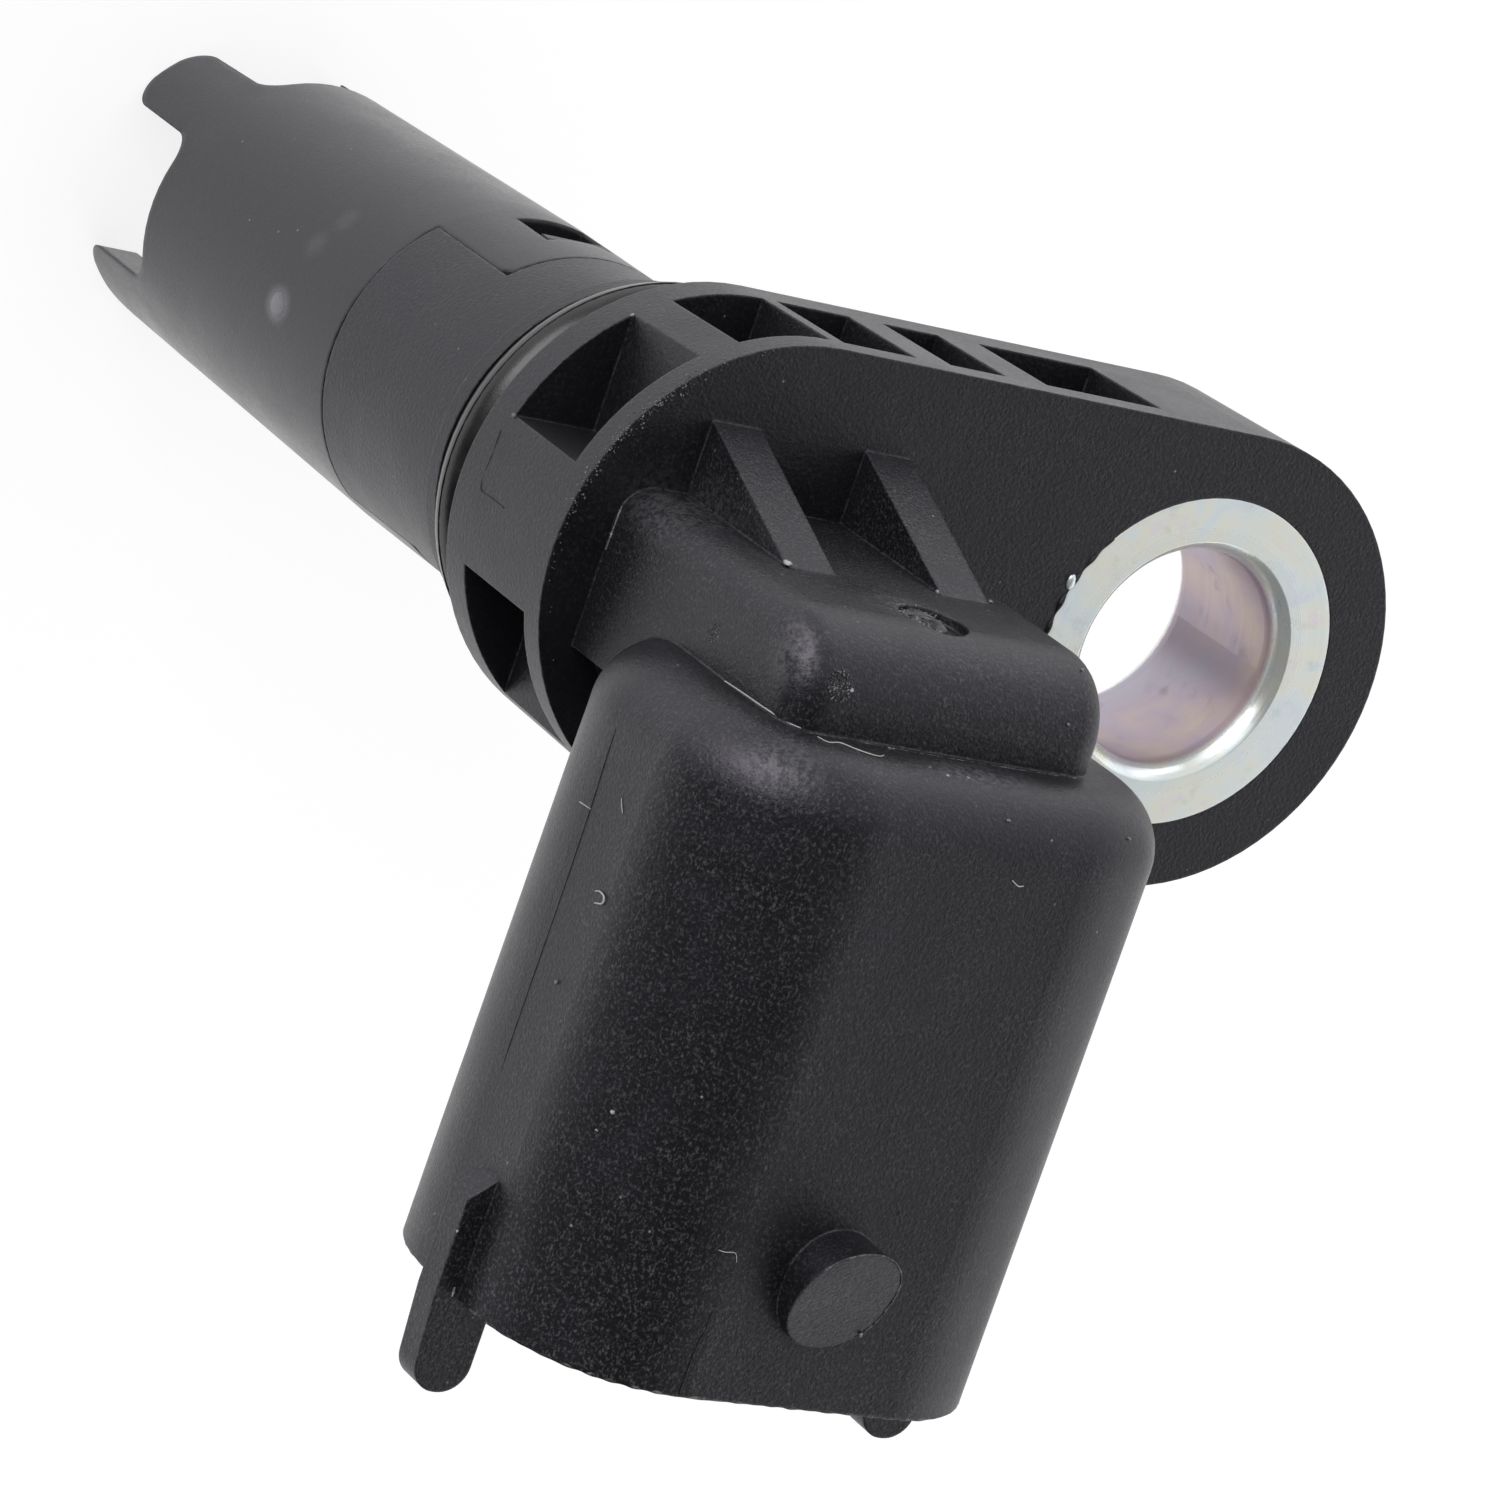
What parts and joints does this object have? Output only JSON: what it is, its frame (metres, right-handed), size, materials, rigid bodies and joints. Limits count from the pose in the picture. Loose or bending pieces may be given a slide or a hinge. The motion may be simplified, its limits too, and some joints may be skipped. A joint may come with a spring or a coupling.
{
  "type": "charge air temperature sensor",
  "caption": "Plug-in charge air temperature sensor: caged probe with a sealing ring, bolt flange with a steel bush, and a keyed electrical connector at right angles.",
  "frame": {"origin": "On the probe's axis, where it leaves the flange's seating face and enters the duct", "axes": "+Z along the probe's axis, away from the probe; the probe hangs down -Z. +X towards the bolt hole. The connector's mouth looks along -Y and its latch nub along +Z"},
  "size_m": [0.0301, 0.0282, 0.0489],
  "materials": {
    "housing_plastic": "satin black glass-filled nylon, finely grained",
    "cage_plastic": "satin black moulded plastic",
    "bush_steel": "zinc-plated and passivated, faintly iridescent",
    "seal_rubber": "matte black",
    "carrier_plastic": "satin black moulded plastic",
    "terminal_metal": "tin-plated brass",
    "lead_wire": "tinned wire",
    "sleeve_plastic": "translucent white sleeving",
    "bead_coating": "glossy black dip coating"
  },
  "bodies": {
    "root": {"housing": "housing_plastic", "mounting_bush": "bush_steel", "sealing_ring": "seal_rubber", "probe_cage": "cage_plastic", "terminal_carrier": "carrier_plastic", "terminal_left": "terminal_metal", "terminal_right": "terminal_metal", "lead_left": "lead_wire", "lead_right": "lead_wire", "lead_sleeve_left": "sleeve_plastic", "lead_sleeve_right": "sleeve_plastic", "thermistor_bead": "bead_coating"}
  },
  "joints": []
}
